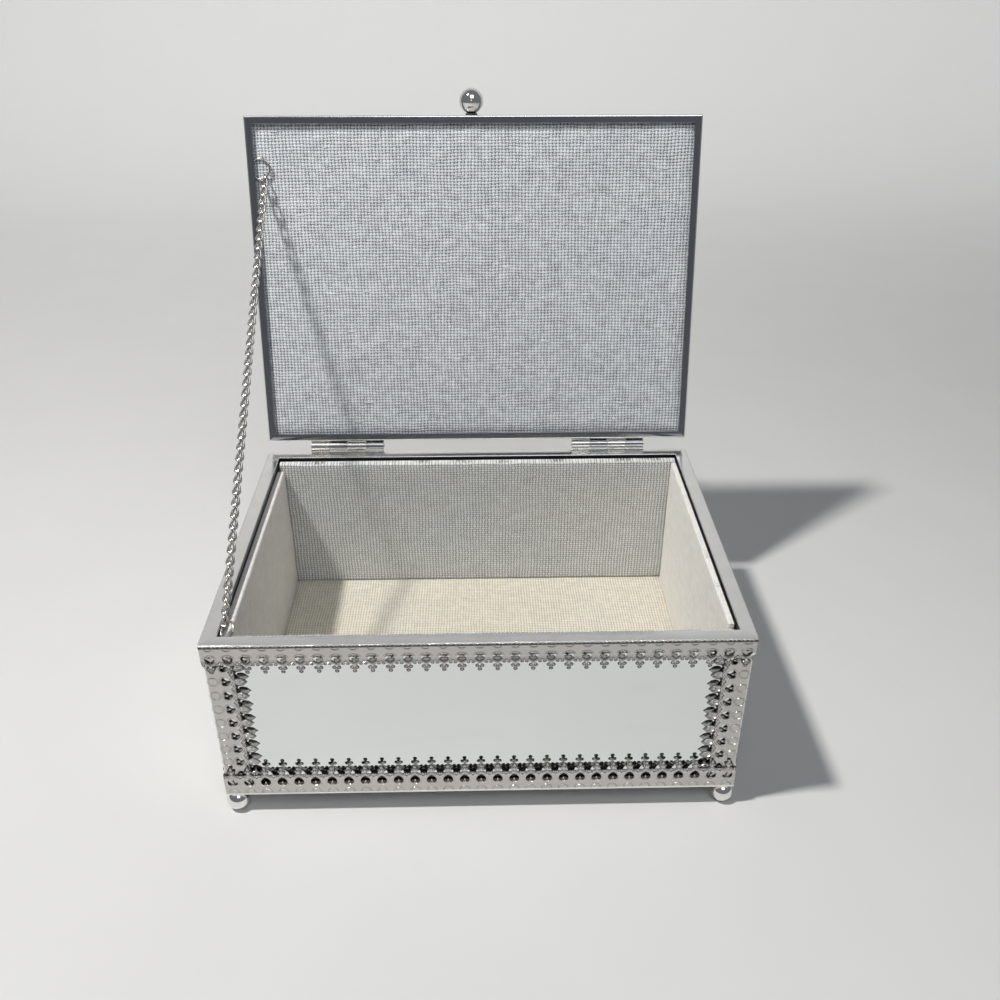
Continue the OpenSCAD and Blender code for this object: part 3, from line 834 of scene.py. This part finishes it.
def padded_board(name, low, high, axis, sign, material, node):
    """A board wrapped in linen: its front crowns a little and its edges roll over.
    axis and sign say which of its sides is seen."""
    crown, radius, step = 0.35, 0.9, 4.0
    low, high = np.array(low, float), np.array(high, float)
    flat_axes = [a for a in range(3) if a != axis]
    spans = [high[a] - low[a] for a in flat_axes]

    def stations(span):
        rolled = [0.0, 0.12, 0.35, 0.65, 1.0]
        inner = np.linspace(radius, span - radius, max(2, int(span / step)))
        return np.array([r * radius for r in rolled[:-1]] + list(inner)
                        + [span - r * radius for r in rolled[-2::-1]])

    grid_s, grid_t = np.meshgrid(*(stations(span) for span in spans), indexing="ij")

    def dip(grid, span):
        edge = np.clip(np.minimum(grid, span - grid) / radius, 0, 1)
        return 1 - np.sqrt(1 - (1 - edge) ** 2)

    fall = np.maximum(dip(grid_s, spans[0]), dip(grid_t, spans[1])) * radius
    swell = (np.sin(np.pi * grid_s / spans[0]) * np.sin(np.pi * grid_t / spans[1])
             ) ** 0.35 * crown
    thick = high[axis] - low[axis]
    face = thick - fall - crown + swell
    points = np.zeros(grid_s.shape + (3,))
    points[..., flat_axes[0]] = low[flat_axes[0]] + grid_s
    points[..., flat_axes[1]] = low[flat_axes[1]] + grid_t
    flat_points = points.reshape(-1, 3)
    face = face.reshape(-1) + ripple(flat_points, 9.0, 0.10, axis + 2 * sign)
    face = np.clip(face, 0.2, thick)             # never through the rear
    front, rear = flat_points.copy(), flat_points.copy()
    front[:, axis] = low[axis] + face if sign > 0 else high[axis] - face
    rear[:, axis] = low[axis] if sign > 0 else high[axis]
    shell = Shell()
    shell.add(np.vstack((front, rear)),
              slab_faces(*grid_s.shape, even=(sign > 0) == (axis != 1)))
    return shell.piece(name, (material,), "body", 60, [node])


# how far the fold of cloth passes the low and the high corner of a board's box
FLAT = (0.0, 0.0, 0.0)
FOLD_LOW = {"liner_left": (-0.9, 0.0, 0.0)}
FOLD_HIGH = {"liner_back": (0.0, 1.3, 1.2), "liner_right": (0.0, 0.0, 0.8)}


def liner(node):
    """The low and high corners of a wall board with its fold of cloth."""
    low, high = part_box(node)
    return ([v / MM + more for v, more in zip(low, FOLD_LOW.get(node, FLAT))],
            [v / MM + more for v, more in zip(high, FOLD_HIGH.get(node, FLAT))])


for node, axis, sign, material in (
        ("liner_front", 1, 1, wall_linen), ("liner_back", 1, -1, wall_linen),
        ("liner_left", 0, 1, side_linen), ("liner_right", 0, -1, side_linen),
        ("liner_floor", 2, 1, floor_linen)):
    low, high = liner(node)
    board = padded_board(node.replace("liner", "linen"), low, high, axis, sign,
                         material, node)


def lid_panel():
    """The lid's linen, drawn tight over card and tucked under the frame."""
    inset, swell, slope = 2.0, 1.05, 5.0     # from the edge, its rise, the rise's width
    edge_z, rear_z = LID_Z + 2.5, LID_Z + 3.3
    w, d = BODY_W / 2 - inset, LID_D / 2 - inset
    gx, gy = np.meshgrid(np.linspace(-w, w, 81), np.linspace(-d, d, 61), indexing="ij")
    edge = np.clip(np.minimum(w - abs(gx), d - abs(gy)) / slope, 0, 1)
    flat = np.stack((gx, gy + LID_MIDDLE, np.zeros_like(gx)), -1).reshape(-1, 3)
    front, rear = flat.copy(), flat.copy()
    front[:, 2] = ((edge_z - swell * np.sin(edge * np.pi / 2)).reshape(-1)
                   + ripple(flat, 12.0, 0.16, 5))
    rear[:, 2] = rear_z
    shell = Shell()
    shell.add(opened(np.vstack((front, rear))), slab_faces(*gx.shape, even=False))
    panel = shell.piece("lid_linen_panel", (lid_linen,), "lid", 60,
                        ["lid_lining"])


lid_panel()


def stray(start, direction, length, curl, radius):
    """One loose fibre that bends away from its start, as corners and faces."""
    parts = 5
    points = [np.array(start, float)]
    heading = direction / np.linalg.norm(direction)
    for _ in range(parts):
        heading = heading + np.array([dice.uniform(-curl, curl) for _ in range(3)])
        heading /= np.linalg.norm(heading)
        points.append(points[-1] + heading * length / parts)
    return tube(points, radius, 3, taper=True)


def lid_slubs():
    """Thick places in the lid's threads, and frayed ends over the frame's lip."""
    shell = Shell()
    slubs, ends = 150, 420
    level = LID_Z + 1.4                      # the cloth's own
    for _ in range(slubs):
        x = dice.uniform(-92, 92)
        y = dice.uniform(-67, 67)
        size = dice.uniform(1.2, 5.0)
        across = dice.random() < 0.5
        steps = np.linspace(-0.5, 0.5, 6) * size
        wander = [dice.uniform(-0.15, 0.15) for _ in steps]
        path = [(x + s, y + w, level - 0.02) if across else (x + w, y + s, level - 0.02)
                for s, w in zip(steps, wander)]
        corners, faces = tube(path, dice.uniform(0.14, 0.26), 5, taper=True)
        shell.add(opened(corners), faces)
    for _ in range(ends):
        side = dice.choice((0, 0, 1, 2, 2, 3))   # the long sides fray more
        long = side_len(side, BODY_W, LID_D) / 2 - 4
        run = dice.uniform(-long, long)
        spot = onto_side(side, BODY_W, LID_D, run, LID_LIP + dice.uniform(0.1, 0.5),
                         level + 0.1).reshape(3)
        end = onto_side(side, BODY_W, LID_D, run + dice.uniform(-0.7, 0.7),
                        LID_LIP - dice.uniform(0.2, 1.0), LID_Z - 0.1).reshape(3)
        corners, faces = stray(spot, end - spot, dice.uniform(0.5, 1.2), 0.35, 0.06)
        shell.add(opened(corners), faces)
    shell.piece("lid_slubs_and_ends", (pale_fibre,), "lid", 60)


lid_slubs()


BELOW_RIM = (3.5, 1.7, 1.3, 4.5)     # tops of the front, right, back and left boards


def wall_ends():
    """Soft fibre ends along the top edges of the wall boards."""
    shell = Shell()
    per_mm, sunk = 4, 0.17
    for side in range(4):
        long = side_len(side, INNER_W, INNER_D) / 2 - 1.5
        for _ in range(int(long * 2 * per_mm)):
            run = dice.uniform(-long, long)
            inward = dice.uniform(0.4, 2.2)
            spot = onto_side(side, INNER_W, INNER_D, run, inward,
                             RIM - BELOW_RIM[side] - sunk).reshape(3)
            way = onto_side(side, 0, 0, dice.uniform(-0.8, 0.8), dice.uniform(-0.3, 0.8),
                            dice.uniform(0.3, 0.9)).reshape(3)
            shell.add(*stray(spot, way, dice.uniform(0.4, 1.1), 0.4, 0.05))
    shell.piece("wall_linen_ends", (cream_fibre,), "body", 60)


wall_ends()


# ------------------------------------------------------------------------- stay chain
CHAIN_TOP = np.array((-92.6, 100.696, 205.803))
CHAIN_END = np.array((-92.6, -60.9, 84.7))
LINKS, PER_RUN = 43, 4               # in the chain, and in each of its rigid runs
LINK_W, LINK_WIRE = 1.5, 0.57        # half width of a link, and its wire's radius
OVER_RING = 1.24     # a link's end passes this far beyond the ring it hangs from
LAP = 1.2            # and neighbouring links lap by this much


def curb_link(length, width, wire):
    """An oval wire link twisted so that the chain lies flat."""
    straight, points = length / 2 - width, 28
    path = []
    for i in range(points):
        turn = i * 2 * math.pi / points
        x, y = width * math.cos(turn), width * math.sin(turn)
        y += straight * max(-1.0, min(1.0, 3 * math.sin(turn)))
        twist = math.radians(45) * y / (length / 2)
        path.append((x * math.cos(twist), y + length / 2, x * math.sin(twist)))
    return tube(path, wire, 8, closed=True)


def stay_chain():
    """The links, from the lid's ring to the body's, as one piece for each rigid run."""
    way = CHAIN_END - CHAIN_TOP
    step = (np.linalg.norm(way) - LAP + 2 * OVER_RING) / LINKS
    corners, faces = curb_link(step + LAP, LINK_W, LINK_WIRE)
    turn, spin = math.atan2(way[2], way[1]), math.radians(46)
    c, s = math.cos(turn), math.sin(turn)
    x = corners[:, 0] * math.cos(spin) + corners[:, 2] * math.sin(spin)
    z = -corners[:, 0] * math.sin(spin) + corners[:, 2] * math.cos(spin)
    for first in range(0, LINKS, PER_RUN):
        shell = Shell()
        for i in range(first, min(first + PER_RUN, LINKS)):
            y = corners[:, 1] + i * step - OVER_RING
            shell.add(CHAIN_TOP + np.stack((x, y * c - z * s, y * s + z * c), -1), faces)
        run = first // PER_RUN + 1
        shell.piece(f"chain_links_{run}", (wire_metal,), f"chain_{run}",
                    60, [f"chain_run_{run}"])


stay_chain()


# ---------------------------------------------------------------- finishes of the rest
REST = {"mirror_glass": mirror_glass, "board": base_board_wood, "base_cloth": base_flock,
        "polished_ball": ball_metal, "hinge_metal": hinge_metal,
        "chain_wire": wire_metal, "collar": collar_metal, "fastener": fastener_metal,
        "pierced_strip": strip_metal, "lid_frame": painted_dark_frame_metal,
        "wall_linen": wall_linen, "lid_linen": lid_linen}
for part in frame["record"]["subparts"]:
    mesh = frame["nodes"][part["node"]].data
    mesh.materials.clear()
    # the lid's hinge leaves get the darker nickel, which paints shade
    painted_shade_leaf = part["node"].endswith("lid_leaf")
    mesh.materials.append(painted_shade_leaf_metal if painted_shade_leaf else REST[part["material_slot"]])


# -------------------------------------------------------------------- floor and light
def pale_ground():
    """A pale floor that keeps shadows. Its far part stays pale to the eye and in the
    metal, and lights nothing."""
    finish = Finish("pale_floor", Roughness=0.9, Specular_IOR_Level=0.1,
                    Emission_Strength=1.0)
    place = finish.place()
    cloudy = finish.noise(place, 60.0, 3.0)
    seen = (finish.node("LightPath", {}, out="Is Camera Ray")
            + finish.node("LightPath", {}, out="Is Glossy Ray")).below(1.0)
    far = finish.along(place, (0.0, 1.0, 0.0)).ramp(200.0, 1250.0)
    finish.set(Base_Color=finish.mix(cloudy, (0.74, 0.735, 0.725), (0.78, 0.775, 0.765)),
               Emission_Color=finish.mix(seen * far, (0.0, 0.0, 0.0),
                                         (0.34, 0.34, 0.335)))
    return finish.material


def stage_floor():
    """A floor that sweeps up into a backdrop; its sizes are in metres."""
    half_width, sweep, height, steps = 3.0, 0.5, 2.6, 12
    front, back = -0.95, 1.3
    profile = [(front, 0.0), (back - sweep, 0.0)]
    for i in range(1, steps + 1):
        turn = i * math.pi / 2 / steps
        profile.append((back - sweep + sweep * math.sin(turn),
                        sweep - sweep * math.cos(turn)))
    profile.append((back, height))
    corners = [(x, y, z) for y, z in profile for x in (-half_width, half_width)]
    faces = [(2 * i, 2 * i + 1, 2 * i + 3, 2 * i + 2) for i in range(len(profile) - 1)]
    mesh = bpy.data.meshes.new("floor")
    mesh.from_pydata(corners, [], faces)
    mesh.materials.append(pale_ground())
    mesh.shade_smooth()
    floor = bpy.data.objects.new("floor", mesh)
    bpy.context.scene.collection.objects.link(floor)


stage_floor()


MIDDLE = (0.0, 0.0, 0.10)


def lamp(name, spot, size, power, tone):
    """A square lamp at a spot in metres, aimed at the middle of the box."""
    data = bpy.data.lights.new(name, "AREA")
    data.shape, data.size, data.energy, data.color = "SQUARE", size, power, tone
    made = bpy.data.objects.new(name, data)
    made.location = spot
    aim = Vector(MIDDLE) - Vector(spot)
    made.rotation_euler = aim.to_track_quat("-Z", "Y").to_euler()
    bpy.context.scene.collection.objects.link(made)


lamp("key_lamp", (-0.50, -0.18, 1.17), size=0.08, power=12.2,
     tone=(1.0, 0.985, 0.955))
lamp("fill_lamp", (0.15, -0.85, 1.25), size=0.7, power=4.4,
     tone=(0.93, 0.965, 1.0))


MIRRORED = 0.15      # how much of the backdrop polished metal shows


def studio_world():
    """Dim cool light all round; the eye sees a pale backdrop in its place."""
    world = bpy.data.worlds.new("studio")
    bpy.context.scene.world = world
    world.use_nodes = True
    sky = Nodes(world.node_tree)
    sky.tree.nodes.remove(sky.tree.nodes["Background"])
    light = sky.node("Background", {"Color": (0.80, 0.88, 1.0), "Strength": 0.09})
    backdrop = sky.node("Background", {"Color": (0.70, 0.70, 0.70), "Strength": 1.0})
    share = (sky.node("LightPath", {}, out="Is Glossy Ray") * MIRRORED
             + sky.node("LightPath", {}, out="Is Camera Ray"))
    shown = sky.node("MixShader", {0: share, 1: light, 2: backdrop})
    sky.feed(sky.tree.nodes["World Output"].inputs["Surface"], shown)


studio_world()

bpy.context.scene.view_settings.view_transform = "Standard"
